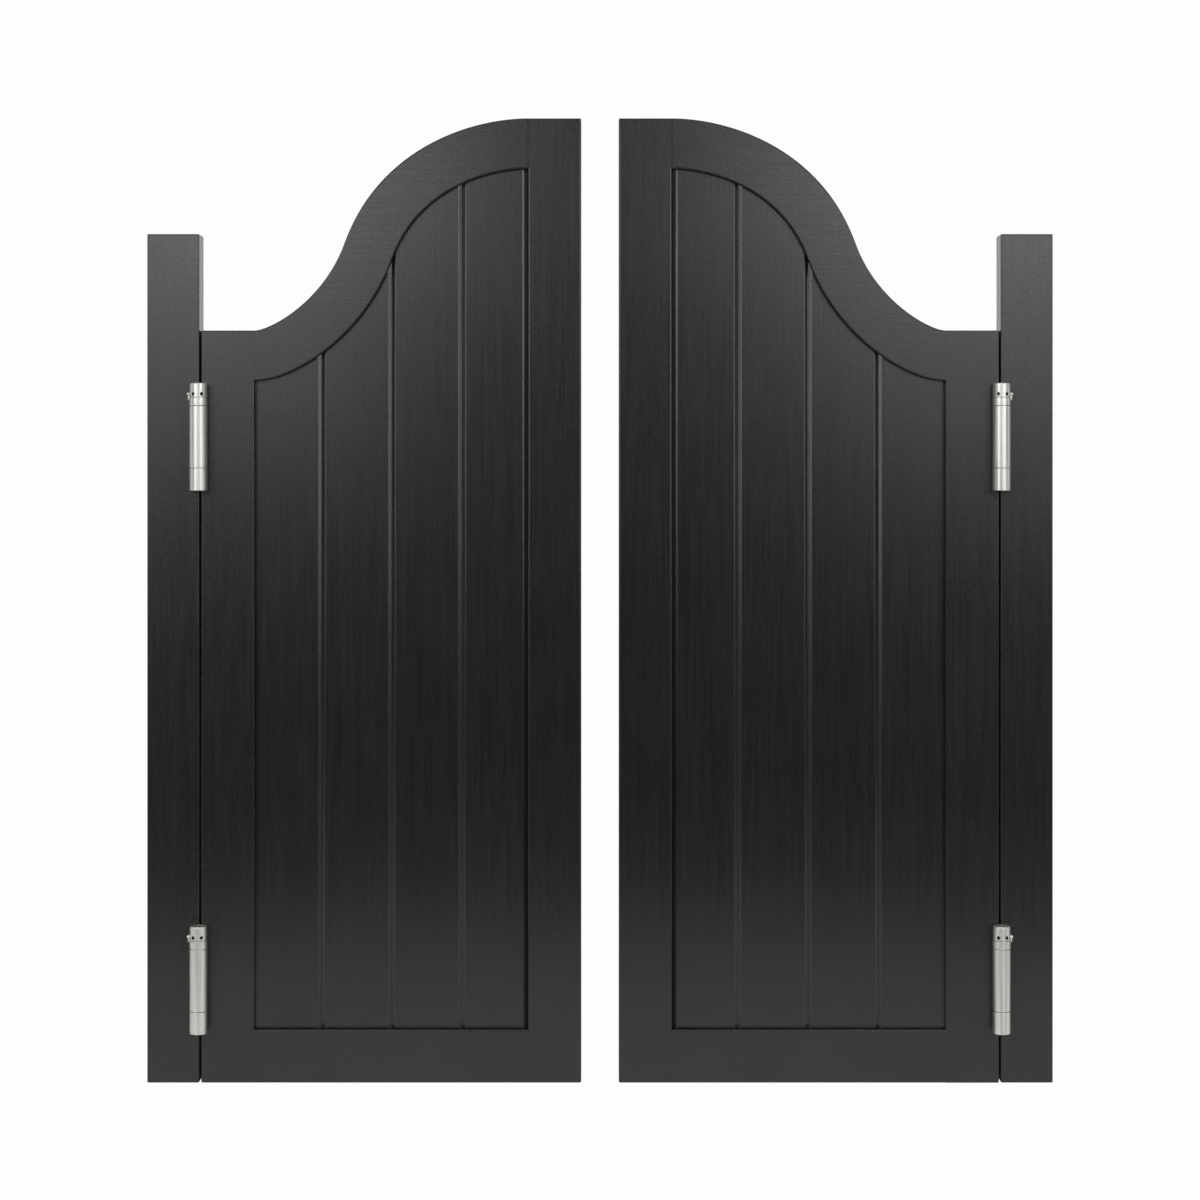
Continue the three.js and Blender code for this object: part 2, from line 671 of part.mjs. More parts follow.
const shapes = {
  post: post(),
  hingeStile: hingeStile(),
  meetingStile: meetingStile(),
  topRail: topRail(),
  bottomRail: bottomRail(),
  boards: Array.from({ length: BOARD_COUNT }, (_, place) => board(place + 1)),
  outerLeaf: outerLeaf(),
  centreLeaf: centreLeaf(),
  collar: tensionCollar(),
  pin: tensionPin(),
  spring: torsionSpring(),
};

// One barrel's loose pieces and the leaf that carries its knuckles
function barrelGroup(hingeName, barrelName, leafName) {
  const group = new THREE.Group();
  group.add(
    piece(`${hingeName}_${leafName}`, shapes.outerLeaf, SATIN_STEEL),
    piece(`${hingeName}_${barrelName}_collar`, shapes.collar, SATIN_STEEL),
    piece(`${hingeName}_${barrelName}_pin`, shapes.pin, BRIGHT_STEEL),
    piece(`${hingeName}_${barrelName}_spring`, shapes.spring, SPRING_STEEL),
  );
  return group;
}

// The rear barrel is the front one turned half round, so both outer leaves are alike
function hinge(hingeName, base) {
  const group = new THREE.Group();
  const front = barrelGroup(hingeName, 'front', 'jamb_leaf');
  const rear = barrelGroup(hingeName, 'rear', 'door_leaf');
  rear.rotation.z = Math.PI;
  group.add(front, rear, piece(`${hingeName}_centre_leaf`, shapes.centreLeaf, SATIN_STEEL));
  group.position.set(-HANG_GAP / 2, 0, base);
  return group;
}

function woodwork(side) {
  const group = new THREE.Group();
  group.add(
    piece(`${side}_post`, shapes.post, BLACK_PAINT),
    piece(`${side}_hinge_stile`, shapes.hingeStile, BLACK_PAINT),
    piece(`${side}_meeting_stile`, shapes.meetingStile, BLACK_PAINT),
    piece(`${side}_top_rail`, shapes.topRail, BLACK_PAINT),
    piece(`${side}_bottom_rail`, shapes.bottomRail, BLACK_PAINT),
    ...shapes.boards.map((shape, place) => piece(`${side}_board_${place + 1}`, shape, BLACK_PAINT)),
  );
  return group;
}

// A post, its door and its hinges, drawn from the door's hinge edge
function unit(side) {
  const group = new THREE.Group();
  group.add(woodwork(side));
  for (const [place, base] of Object.entries(HINGE_BASES)) {
    group.add(hinge(`${side}_${place}`, base));
  }
  return group;
}

const doors = new THREE.Group();
const left = unit('left');
left.position.x = -MEETING_GAP / 2 - DOOR_WIDTH;
const right = unit('right');
right.scale.x = -1;
right.position.x = MEETING_GAP / 2 + DOOR_WIDTH;
doors.add(left, right);

export default doors;
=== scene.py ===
"""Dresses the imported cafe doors: eased painted timber, turned hinges, a plain studio and the camera.

Sizes of the doors are in millimetres in the frame of the part, and go to metres where a mesh is made.
Sizes of the studio are in metres.
"""

import itertools
import logging
import math
from collections.abc import Iterable, Mapping, Sequence
from dataclasses import dataclass, field
from enum import Enum
from typing import Any

import bmesh
import bpy
from mathutils import Matrix, Vector
from mathutils.bvhtree import BVHTree


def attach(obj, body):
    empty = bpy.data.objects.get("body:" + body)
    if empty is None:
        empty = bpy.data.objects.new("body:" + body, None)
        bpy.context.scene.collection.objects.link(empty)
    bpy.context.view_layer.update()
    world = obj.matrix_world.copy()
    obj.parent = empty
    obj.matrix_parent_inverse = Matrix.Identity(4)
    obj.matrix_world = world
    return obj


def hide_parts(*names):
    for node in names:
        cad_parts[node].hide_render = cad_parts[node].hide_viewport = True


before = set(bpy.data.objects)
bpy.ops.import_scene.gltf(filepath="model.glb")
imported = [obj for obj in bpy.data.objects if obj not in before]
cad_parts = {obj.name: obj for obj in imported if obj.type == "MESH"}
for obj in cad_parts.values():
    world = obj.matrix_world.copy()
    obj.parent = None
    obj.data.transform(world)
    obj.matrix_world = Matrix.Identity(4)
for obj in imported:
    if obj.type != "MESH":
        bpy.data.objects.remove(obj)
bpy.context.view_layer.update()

LOG = logging.getLogger("cafe_doors")
MM = 0.001  # a millimetre in metres
WELD = 0.002  # corners nearer than this are one corner
NEAR = 0.05  # slack when a corner is known by its place
FLAT = math.radians(0.4)  # faces that meet at less than this are one flat face
SQUARE = 0.99999  # how far along one axis the normal of a squarely cut face points

Point = tuple[float, float]  # in a plane
Spot = tuple[float, float, float]  # in space
Links = Mapping[str | int, tuple[bpy.types.Node, str | int]]


class Side(Enum):
    """A half of the pair, with the sign of its X."""

    LEFT = -1
    RIGHT = 1

    @property
    def word(self) -> str:
        """The half's name as the nodes spell it."""
        return self.name.lower()


class Place(Enum):
    """A hinge's place on the door, with the height of its foot."""

    UPPER = 614.1
    LOWER = 54.0


class Barrel(Enum):
    """A barrel of a hinge, with the turn that carries the front one to it."""

    FRONT = 0.0
    REAR = math.pi


class Grain(Enum):
    """The way the wood's grain runs, as the share of the pattern's scale along X, Y and Z."""

    UPRIGHT = (1.0, 1.0, 0.03)
    LEVEL = (0.03, 1.0, 1.0)


def linear(colour: str) -> tuple[float, float, float, float]:
    """Turns an sRGB colour to linear light.

    Args:
        colour: Six hex digits after a hash sign.

    Returns:
        Red, green, blue and a full alpha.
    """
    shares = [int(colour[i : i + 2], 16) / 255 for i in (1, 3, 5)]
    red, green, blue = (
        share / 12.92 if share <= 0.04045 else ((share + 0.055) / 1.055) ** 2.4
        for share in shares
    )
    return red, green, blue, 1.0


def add_node(
    tree: bpy.types.NodeTree,
    kind: str,
    settings: Mapping[str | int, Any] | None = None,
    links: Links | None = None,
) -> bpy.types.Node:
    """Adds one node with its settings and links.

    Args:
        tree: The node tree that gets the node.
        kind: Blender's name of the node type.
        settings: Values by attribute name, or by input name or number.
        links: The node and output that feed an input, by input name or number.

    Returns:
        The new node.
    """
    node = tree.nodes.new(kind)
    for name, value in (settings or {}).items():
        if isinstance(name, str) and hasattr(node, name):
            setattr(node, name, value)
        else:
            node.inputs[name].default_value = value
    for name, (source, output) in (links or {}).items():
        tree.links.new(source.outputs[output], node.inputs[name])
    return node


def new_material(name: str) -> tuple[bpy.types.Material, bpy.types.NodeTree]:
    """Makes an empty node material.

    Args:
        name: The material's common name.

    Returns:
        The material and its node tree, with no node in it.
    """
    material = bpy.data.materials.new(name)
    material.use_nodes = True
    material.node_tree.nodes.clear()
    return material, material.node_tree


def background_rays(tree: bpy.types.NodeTree) -> bpy.types.Node:
    """Picks out the rays that show a background: the camera's own, and those off metal or through glass.

    Args:
        tree: The node tree that asks.

    Returns:
        A node that gives 1 for such a ray and 0 for any other.
    """
    rays = add_node(tree, "ShaderNodeLightPath")
    either = add_node(
        tree,
        "ShaderNodeMath",
        {"operation": "MAXIMUM"},
        {0: (rays, "Is Camera Ray"), 1: (rays, "Is Glossy Ray")},
    )
    return add_node(
        tree,
        "ShaderNodeMath",
        {"operation": "MAXIMUM"},
        {0: (either, 0), 1: (rays, "Is Transmission Ray")},
    )


@dataclass(frozen=True)
class PaintedPine:
    """Pine under two brushed coats of satin black paint.

    Paint fills the pores but follows the soft and hard rings, so the grain shows as faint long ridges,
    and the dried film has a fine peel that breaks the sheen into specks. Where the film is thin it is a
    little browner.
    """

    grain: Grain
    name: str = "satin_painted_pine"
    body: str = "#1a1917"
    thin: str = "#22211e"
    ring_spacing: float = 3.2
    peel_size: float = 1.3
    patch_size: float = 70.0
    low_roughness: float = 0.22
    high_roughness: float = 0.32

    def material(self) -> bpy.types.Material:
        """Builds the paint's nodes.

        Returns:
            The finished material.
        """
        material, tree = new_material(f"{self.name}_{self.grain.name.lower()}")
        place = add_node(tree, "ShaderNodeTexCoord")
        along = tuple(share / (self.ring_spacing * MM) for share in self.grain.value)
        stretched = add_node(
            tree, "ShaderNodeMapping", {"Scale": along}, {"Vector": (place, "Object")}
        )
        rings = add_node(
            tree,
            "ShaderNodeTexNoise",
            {"Scale": 1.0, "Detail": 4.0, "Roughness": 0.62, "Distortion": 0.35},
            {"Vector": (stretched, 0)},
        )
        peel = add_node(
            tree,
            "ShaderNodeTexNoise",
            {"Scale": 1 / (self.peel_size * MM), "Detail": 2.0, "Roughness": 0.55},
            {"Vector": (place, "Object")},
        )
        patches = add_node(
            tree,
            "ShaderNodeTexNoise",
            {"Scale": 1 / (self.patch_size * MM), "Detail": 3.0, "Roughness": 0.5},
            {"Vector": (place, "Object")},
        )
        ridge = add_node(
            tree,
            "ShaderNodeMix",
            {"data_type": "FLOAT", 0: 0.45},
            {2: (rings, 0), 3: (peel, 0)},
        )
        cover = add_node(
            tree,
            "ShaderNodeMix",
            {"data_type": "FLOAT", 0: 0.4},
            {2: (ridge, 0), 3: (patches, 0)},
        )
        spread = add_node(
            tree,
            "ShaderNodeMapRange",
            {"From Min": 0.36, "From Max": 0.64},
            {"Value": (cover, 0)},
        )
        colour = add_node(
            tree,
            "ShaderNodeMix",
            {"data_type": "RGBA", 6: linear(self.body), 7: linear(self.thin)},
            {0: (spread, 0)},
        )
        sheen = add_node(
            tree,
            "ShaderNodeMapRange",
            {
                "From Min": 0.3,
                "From Max": 0.7,
                "To Min": self.low_roughness,
                "To Max": self.high_roughness,
            },
            {"Value": (ridge, 0)},
        )
        relief = add_node(
            tree,
            "ShaderNodeBump",
            {"Strength": 0.35, "Distance": 0.25 * MM},
            {"Height": (ridge, 0)},
        )
        paint = add_node(
            tree,
            "ShaderNodeBsdfPrincipled",
            {"IOR": 1.5},
            {"Base Color": (colour, 2), "Roughness": (sheen, 0), "Normal": (relief, 0)},
        )
        add_node(tree, "ShaderNodeOutputMaterial", None, {"Surface": (paint, 0)})
        return material


@dataclass(frozen=True)
class BrushedSteel:
    """Steel that a fine belt has brushed lengthwise, so soft upright streaks run down every round face.

    The real scratches are about 0.05 mm apart. They are drawn many times coarser, so that they show.
    """

    name: str
    bright: str
    dull: str
    low_roughness: float
    high_roughness: float
    streak_width: float = 0.8
    streak_length: float = 45.0

    def material(self) -> bpy.types.Material:
        """Builds the steel's nodes.

        Returns:
            The finished material.
        """
        material, tree = new_material(self.name)
        place = add_node(tree, "ShaderNodeTexCoord")
        across, along = (1 / (size * MM) for size in (self.streak_width, self.streak_length))
        stretched = add_node(
            tree,
            "ShaderNodeMapping",
            {"Scale": (across, across, along)},
            {"Vector": (place, "Object")},
        )
        streaks = add_node(
            tree,
            "ShaderNodeTexNoise",
            {"Scale": 1.0, "Detail": 3.0, "Roughness": 0.6},
            {"Vector": (stretched, 0)},
        )
        tint = add_node(
            tree,
            "ShaderNodeMix",
            {"data_type": "RGBA", 6: linear(self.dull), 7: linear(self.bright)},
            {0: (streaks, 0)},
        )
        gloss = add_node(
            tree,
            "ShaderNodeMapRange",
            {
                "From Min": 0.3,
                "From Max": 0.7,
                "To Min": self.low_roughness,
                "To Max": self.high_roughness,
            },
            {"Value": (streaks, 0)},
        )
        relief = add_node(
            tree,
            "ShaderNodeBump",
            {"Strength": 0.2, "Distance": 0.1 * MM},
            {"Height": (streaks, 0)},
        )
        steel = add_node(
            tree,
            "ShaderNodeBsdfPrincipled",
            {"Metallic": 1.0},
            {"Base Color": (tint, 2), "Roughness": (gloss, 0), "Normal": (relief, 0)},
        )
        add_node(tree, "ShaderNodeOutputMaterial", None, {"Surface": (steel, 0)})
        return material


@dataclass(frozen=True)
class StudioPaper:
    """Uncoated white paper off a wide roll. It shows as white, and still takes a faint shadow."""

    paper: str = "#e6e6e6"
    own_white: float = 0.98

    def material(self) -> bpy.types.Material:
        """Builds the paper's nodes.

        Returns:
            The finished material.
        """
        material, tree = new_material("white_studio_paper")
        share = add_node(
            tree,
            "ShaderNodeMath",
            {"operation": "MULTIPLY", 1: self.own_white},
            {0: (background_rays(tree), 0)},
        )
        lit = add_node(tree, "ShaderNodeBsdfDiffuse", {"Color": linear(self.paper)})
        white = add_node(tree, "ShaderNodeEmission", {"Strength": 1.0})
        both = add_node(
            tree, "ShaderNodeMixShader", None, {0: (share, 0), 1: (lit, 0), 2: (white, 0)}
        )
        add_node(tree, "ShaderNodeOutputMaterial", None, {"Surface": (both, 0)})
        return material


@dataclass(frozen=True)
class GlowingGreyCard:
    """A card that glows evenly with one grey, as dim as the room: painted light that no lamp gives. The
    black paint mirrors it.
    """

    grey: str

    def material(self) -> bpy.types.Material:
        """Builds the card's nodes.

        Returns:
            The finished material.
        """
        material, tree = new_material("glowing_grey_card")
        # The card glows with the room's dim grey: painted light, not lit by the lamps.
        dim = add_node(tree, "ShaderNodeEmission", {"Color": linear(self.grey), "Strength": 1.0})
        add_node(tree, "ShaderNodeOutputMaterial", None, {"Surface": (dim, 0)})
        return material


@dataclass(frozen=True)
class Finishes:
    """The materials of the doors, each made once."""

    upright_pine: bpy.types.Material
    level_pine: bpy.types.Material
    dull_pine: bpy.types.Material
    satin_steel: bpy.types.Material
    bright_steel: bpy.types.Material
    spring_steel: bpy.types.Material

    @classmethod
    def mixed(cls) -> "Finishes":
        """Mixes every finish.

        Returns:
            The finishes of these doors.
        """
        # The brush hardly reaches into the gap beside a post, so the paint there is thin and dull.
        dull = PaintedPine(
            Grain.UPRIGHT, "thinly_painted_pine", low_roughness=0.8, high_roughness=0.95
        )
        # Stainless barrels are finished on a coarse belt, so they show broad soft streaks and no mirror.
        satin = BrushedSteel(
            "satin_stainless_steel", "#f4f3ef", "#96958f", 0.34, 0.52, 2.4, 140.0
        )
        # Zinc plating rounds off the scratches of the drawn wire, so pins and screws are brighter.
        zinc = BrushedSteel("zinc_plated_steel", "#dcdcda", "#b4b5b6", 0.2, 0.34)
        # Oil tempering leaves spring wire dark. The same dark steel lines the collar's drilled holes as
        # painted shade.
        oiled_and_hole_shade = BrushedSteel("oiled_spring_steel", "#77746f", "#4b4946", 0.3, 0.48)
        return cls(
            upright_pine=PaintedPine(Grain.UPRIGHT).material(),
            level_pine=PaintedPine(Grain.LEVEL).material(),
            dull_pine=dull.material(),
            satin_steel=satin.material(),
            bright_steel=zinc.material(),
            spring_steel=oiled_and_hole_shade.material(),
        )


def quarter_turn(steps: int) -> list[float]:
    """Divides a right angle.

    Args:
        steps: How many equal steps it gets.

    Returns:
        Angles in radians from nothing to a right angle.
    """
    return [math.radians(90 * i / steps) for i in range(steps + 1)]


def loose_mesh(node: str) -> bmesh.types.BMesh:
    """Copies a node's mesh with its corners joined and its flat faces made whole.

    Args:
        node: The node's name.

    Returns:
        A new mesh in millimetres.
    """
    mesh = bmesh.new()
    mesh.from_mesh(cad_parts[node].data)
    bmesh.ops.scale(mesh, vec=(1 / MM,) * 3, verts=mesh.verts)
    bmesh.ops.remove_doubles(mesh, verts=mesh.verts, dist=WELD)
    bmesh.ops.dissolve_limit(mesh, angle_limit=FLAT, verts=mesh.verts, edges=mesh.edges)
    return mesh


def surfaces_of(nodes: Iterable[str]) -> BVHTree:
    """Gathers the surfaces of several nodes.

    Args:
        nodes: The nodes' names.

    Returns:
        A search tree in millimetres.
    """
    corners: list[Vector] = []
    faces: list[list[int]] = []
    for node in nodes:
        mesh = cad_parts[node].data
        start = len(corners)
        corners.extend(vertex.co / MM for vertex in mesh.vertices)
        faces.extend([start + i for i in face.vertices] for face in mesh.polygons)
    return BVHTree.FromPolygons(corners, faces)


def add_ring_stack(
    mesh: bmesh.types.BMesh, rings: Sequence[Sequence[Vector]], closed: bool
) -> None:
    """Joins rings of points by bands of faces.

    Args:
        mesh: The mesh that gets the faces.
        rings: Rings of equally many points.
        closed: True joins the last ring to the first, and False caps both ends.
    """
    made = [[mesh.verts.new(point) for point in ring] for ring in rings]
    bands = list(zip(made, made[1:] + made[:1] if closed else made[1:]))
    for low, high in bands:
        for i in range(len(low)):
            j = (i + 1) % len(low)
            mesh.faces.new((low[i], low[j], high[j], high[i]))
    if not closed:
        mesh.faces.new(tuple(reversed(made[0])))
        mesh.faces.new(tuple(made[-1]))


def add_turned(
    mesh: bmesh.types.BMesh,
    profile: Sequence[Point],
    closed: bool,
    axis: Matrix | None = None,
    sides: int = 56,
) -> None:
    """Adds a turned form.

    Args:
        mesh: The mesh that gets the form.
        profile: Radii and heights, up the outside.
        closed: True for a ring with a bore, False for a form with flat ends.
        axis: Where the turning axis goes, the Z axis if left out.
        sides: How many faces go round.
    """
    turn = axis or Matrix.Identity(4)
    angles = [math.tau * i / sides for i in range(sides)]
    rings = [
        [turn @ Vector((r * math.cos(a), r * math.sin(a), z)) for a in angles]
        for r, z in profile
    ]
    add_ring_stack(mesh, rings, closed)


def add_block(
    mesh: bmesh.types.BMesh, low: Sequence[float], high: Sequence[float], ease: float
) -> None:
    """Adds a block with eased edges.

    Args:
        mesh: The mesh that gets the block.
        low: The block's lowest corner.
        high: The block's highest corner.
        ease: The radius of its edges.
    """
    size = Vector(high) - Vector(low)
    middle = (Vector(low) + Vector(high)) / 2
    place = Matrix.Translation(middle) @ Matrix.Diagonal((*size, 1))
    made = bmesh.ops.create_cube(mesh, size=1.0, matrix=place)["verts"]
    edges = list({edge for vertex in made for edge in vertex.link_edges})
    bmesh.ops.bevel(mesh, geom=edges, offset=ease, segments=2, profile=0.5, affect="EDGES")


def eased_profile(inner: float, outer: float, span: Point, ease: float) -> list[Point]:
    """Gives a ring's section with rounded outer corners.

    Args:
        inner: The bore's radius.
        outer: The outside radius.
        span: The lower and the upper end.
        ease: The radius of the rounding.

    Returns:
        Radii and heights from the bore's foot round the outside to its top.
    """
    z0, z1 = span
    swing = quarter_turn(3)
    foot = [(outer - ease * (1 - math.sin(a)), z0 + ease * (1 - math.cos(a))) for a in swing]
    head = [(outer - ease * (1 - math.cos(a)), z1 - ease * (1 - math.sin(a))) for a in swing]
    return [(inner, z0), *foot, *head, (inner, z1)]


def joined_into(mesh: bmesh.types.BMesh, other: bmesh.types.BMesh) -> None:
    """Adds a mesh to another and uses it up.

    Args:
        mesh: The mesh that grows.
        other: The mesh that goes into it.
    """
    data = bpy.data.meshes.new("passing")
    other.to_mesh(data)
    other.free()
    mesh.from_mesh(data)
    bpy.data.meshes.remove(data)


def carved(mesh: bmesh.types.BMesh, cutter: bmesh.types.BMesh) -> bmesh.types.BMesh:
    """Takes the cutter's forms out of a mesh.

    Args:
        mesh: The mesh, which is used up.
        cutter: The forms to take out, which are used up.

    Returns:
        The mesh that is left.
    """
    made = []
    for source in (mesh, cutter):
        bmesh.ops.recalc_face_normals(source, faces=source.faces)
        data = bpy.data.meshes.new("passing")
        source.to_mesh(data)
        source.free()
        made.append(bpy.data.objects.new("passing", data))
        bpy.context.scene.collection.objects.link(made[-1])
    cut = made[0].modifiers.new("cut", "BOOLEAN")
    cut.operation = "DIFFERENCE"
    cut.solver = "EXACT"
    cut.use_self = True
    cut.object = made[1]
    result = bmesh.new()
    result.from_object(made[0], bpy.context.evaluated_depsgraph_get())
    for passing in made:
        data = passing.data
        bpy.data.objects.remove(passing)
        bpy.data.meshes.remove(data)
    return result


def finished_object(
    name: str, mesh: bmesh.types.BMesh, material: bpy.types.Material, sharp: float = 40.0
) -> bpy.types.Object:
    """Turns a mesh in millimetres into an object in metres.

    Args:
        name: The object's name.
        mesh: The mesh, which is used up.
        material: Its finish.
        sharp: The angle in degrees from which an edge is shaded as sharp.

    Returns:
        The object, linked to the scene.
    """
    bmesh.ops.scale(mesh, vec=(MM,) * 3, verts=mesh.verts)
    data = bpy.data.meshes.new(name)
    mesh.to_mesh(data)
    mesh.free()
    data.materials.append(material)
    data.set_sharp_from_angle(angle=math.radians(sharp))
    # Squarely cut faces are shaded flat. This comes second, because the line above takes such marks off.
    square = [max(map(abs, face.normal)) > SQUARE for face in data.polygons]
    data.polygons.foreach_set("use_smooth", [not flat for flat in square])
    made = bpy.data.objects.new(name, data)
    bpy.context.scene.collection.objects.link(made)
    shading = made.modifiers.new("flat_faces_first", "WEIGHTED_NORMAL")
    shading.keep_sharp = True
    shading.weight = 90
    return made


def hang(piece: bpy.types.Object, body: str, nodes: Sequence[str] = ()) -> None:
    """Puts a piece on its body and reports it.

    Args:
        piece: The piece.
        body: The body that carries it.
        nodes: The nodes that it stands for.
    """
    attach(piece, body)
    if nodes:
        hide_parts(*nodes)
    LOG.info("%s rides on %s, %d faces", piece.name, body, len(piece.data.polygons))


def stage_sheet(
    name: str, rows: Sequence[Sequence[Spot]], material: bpy.types.Material
) -> bpy.types.Object:
    """Makes a sheet of the studio, which isn't part of the doors.

    Args:
        name: The sheet's name.
        rows: Rows of equally many points, in metres.
        material: Its finish.

    Returns:
        The sheet, linked to the scene.
    """
    width = len(rows[0])
    faces = [
        (start + i, start + i + 1, start + width + i + 1, start + width + i)
        for start in range(0, width * (len(rows) - 1), width)
        for i in range(width - 1)
    ]
    data = bpy.data.meshes.new(name)
    data.from_pydata([point for row in rows for point in row], [], faces)
    data.materials.append(material)
    sheet = bpy.data.objects.new(name, data)
    bpy.context.scene.collection.objects.link(sheet)
    LOG.info("%s is set up", name)
    return sheet


@dataclass
class Ogee:
    """The flowing line of the top rail, from the hinge stile's top to the meeting stile's top.

    X is measured from the door's hinge edge. The points between the ends are shares of the run and rise.
    """

    start: Point = (55.1, 780.0)
    end: Point = (338.9, 1000.0)
    leave: Point = (0.0525, 0.0)
    below_turn: Point = (0.25, 0.13)
    turn: Point = (0.329, 0.412)
    arrive: Point = (0.796, 1.0)
    upper_reach: float = 1.61
    steps: int = 36

    def _at(self, share: Point) -> Vector:
        """Places a share of the run and rise."""
        start, end = Vector(self.start), Vector(self.end)
        return start + Vector(share) * (end - start)

    def line(self) -> list[tuple[Vector, Vector]]:
        """Runs along the ogee.

        Returns:
            Points with the unit direction out of the rail at each.
        """
        turn, below = self._at(self.turn), self._at(self.below_turn)
        above = turn + (turn - below) * self.upper_reach
        curves = (
            (Vector(self.start), self._at(self.leave), below, turn),
            (turn, above, self._at(self.arrive), Vector(self.end)),
        )
        made: list[tuple[Vector, Vector]] = []
        for a, b, c, d in curves:
            for step in range(1 if made else 0, self.steps + 1):
                t = step / self.steps
                u = 1 - t
                point = a * u**3 + b * (3 * u * u * t) + c * (3 * u * t * t) + d * t**3
                heading = (b - a) * (u * u) + (c - b) * (2 * u * t) + (d - c) * (t * t)
                heading.normalize()
                made.append((point, Vector((-heading.y, heading.x))))
        return made


@dataclass
class Woodwork:
    """The painted timber of one half: the post, and the door's frame and boards."""

    side: Side
    finishes: Finishes
    half_frame: float = 15.0
    hinge_edge: float = 413.5
    bottom_rail_top: float = 55.0
    rail_width: float = 52.0
    ogee: Ogee = field(default_factory=Ogee)
    # Arrises that nothing covers are eased. One with a neighbour within touch is a painted joint.
    ease: float = 1.4
    ease_segments: int = 4
    arris_angle: float = 30.0
    touch: float = 0.4
    hairline: float = 0.45
    # The gap between post and door.
    gap_middle: float = 414.5
    gap_reach: float = 1.5
    gap_facing: float = 0.99
    # Paint fills the V joints, so they are drawn shallower than they were cut, and the edge of the first
    # board, past square_edge, is filled flush.
    board_count: int = 4
    half_board: float = 7.75
    vee_foot: float = 4.15
    vee_depth: float = 2.0
    square_edge: float = 350.0
    board_ease: float = 0.6
    board_ease_segments: int = 3
    board_arris_angle: float = 15.0
    board_sharp: float = 30.0

    def build(self) -> None:
        """Builds and hangs every timber."""
        hinge_top, meeting_top = self.ogee.start[1], self.ogee.end[1]
        foot = self.bottom_rail_top
        self._timber("post", "posts", [hinge_top])
        self._timber("hinge_stile", self._door(), [foot, hinge_top - self.rail_width])
        self._timber("meeting_stile", self._door(), [foot, meeting_top - self.rail_width])
        self._timber("bottom_rail", self._door(), [], self.finishes.level_pine)
        self._top_rail()
        for number in range(1, self.board_count + 1):
            self._board(number)

    def _door(self) -> str:
        """The name of the door's body."""
        return f"{self.side.word}_door"

    def _node(self, part: str) -> str:
        """The name of a node of this half."""
        return f"{self.side.word}_{part}"

    def _neighbours(self, node: str) -> BVHTree:
        """Gathers all that may touch a timber.

        Args:
            node: The timber's node.

        Returns:
            The surfaces of every other timber and leaf of this half.
        """
        near = ("post", "stile", "rail", "board", "leaf")
        names = [
            name
            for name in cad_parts
            if name != node
            and name.startswith(self.side.word)
            and any(word in name for word in near)
        ]
        return surfaces_of(names)

    def _timber(
        self,
        part: str,
        body: str,
        cuts: Sequence[float],
        material: bpy.types.Material | None = None,
    ) -> None:
        """Eases the open arrises of a straight timber and leaves its painted joints tight.

        Args:
            part: The timber's name.
            body: The body that carries it.
            cuts: Heights where an arris passes from open to covered.
            material: Its finish, upright grain if left out.
        """
        node = self._node(part)
        mesh = loose_mesh(node)
        for height in cuts:
            bmesh.ops.bisect_plane(
                mesh,
                geom=[*mesh.verts, *mesh.edges, *mesh.faces],
                plane_co=(0, 0, height),
                plane_no=(0, 0, 1),
                dist=0.001,
            )
        near = self._neighbours(node)
        arrises = [edge for edge in mesh.edges if self._is_open(edge, near)]
        bmesh.ops.bevel(
            mesh,
            geom=arrises,
            offset=self.ease,
            segments=self.ease_segments,
            profile=0.5,
            affect="EDGES",
            clamp_overlap=True,
        )
        made = finished_object(f"{node}_timber", mesh, material or self.finishes.upright_pine)
        made.data.materials.append(self.finishes.dull_pine)
        for face in made.data.polygons:
            face.material_index = int(self._in_gap(face.center / MM, face.normal))
        hang(made, body, [node])

    def _in_gap(self, middle: Vector, normal: Vector) -> bool:
        """Tells whether a face lies in the narrow gap beside the post, where a brush hardly reaches."""
        beside = abs(abs(middle.x) - self.gap_middle) < self.gap_reach
        return beside and abs(normal.x) > self.gap_facing and middle.z < self.ogee.start[1]

    def _is_open(self, edge: bmesh.types.BMEdge, near: BVHTree) -> bool:
        """Tells whether an arris is on the timber's outside with nothing against it.

        Args:
            edge: The edge.
            near: The neighbours' surfaces.

        Returns:
            True for an arris that a hand can reach.
        """
        outside = all(abs(v.co.y) > self.half_frame - NEAR for v in edge.verts)
        if not outside or len(edge.link_faces) != 2:
            return False
        if edge.calc_face_angle(0.0) < math.radians(self.arris_angle):
            return False
        middle = (edge.verts[0].co + edge.verts[1].co) / 2
        return near.find_nearest(middle, self.touch)[0] is None

    def _top_rail(self) -> None:
        """Builds the ogee rail with a fine line and eased arrises."""
        line = self.ogee.line()
        outline = [*line, *((point - out * self.rail_width, -out) for point, out in reversed(line))]
        at_meeting_stile = (len(line) - 1, len(line))
        front = [
            (1 - math.cos(a), -self.half_frame + self.ease * (1 - math.sin(a)))
            for a in reversed(quarter_turn(self.ease_segments))
        ]
        back = [(share, -depth) for share, depth in reversed(front)]
        rings = []
        for share, depth in front + back:
            ring = []
            for i, (point, out) in enumerate(outline):
                at = point - out * (self.ease * share)
                if i in at_meeting_stile:
                    at.x -= self.hairline * share
                x = self.side.value * (self.hinge_edge - at.x)
                ring.append(Vector((x, depth, at.y)))
            rings.append(ring)
        mesh = bmesh.new()
        add_ring_stack(mesh, rings, closed=False)
        bmesh.ops.recalc_face_normals(mesh, faces=mesh.faces)
        node = self._node("top_rail")
        made = finished_object(f"{node}_timber", mesh, self.finishes.level_pine)
        hang(made, self._door(), [node])

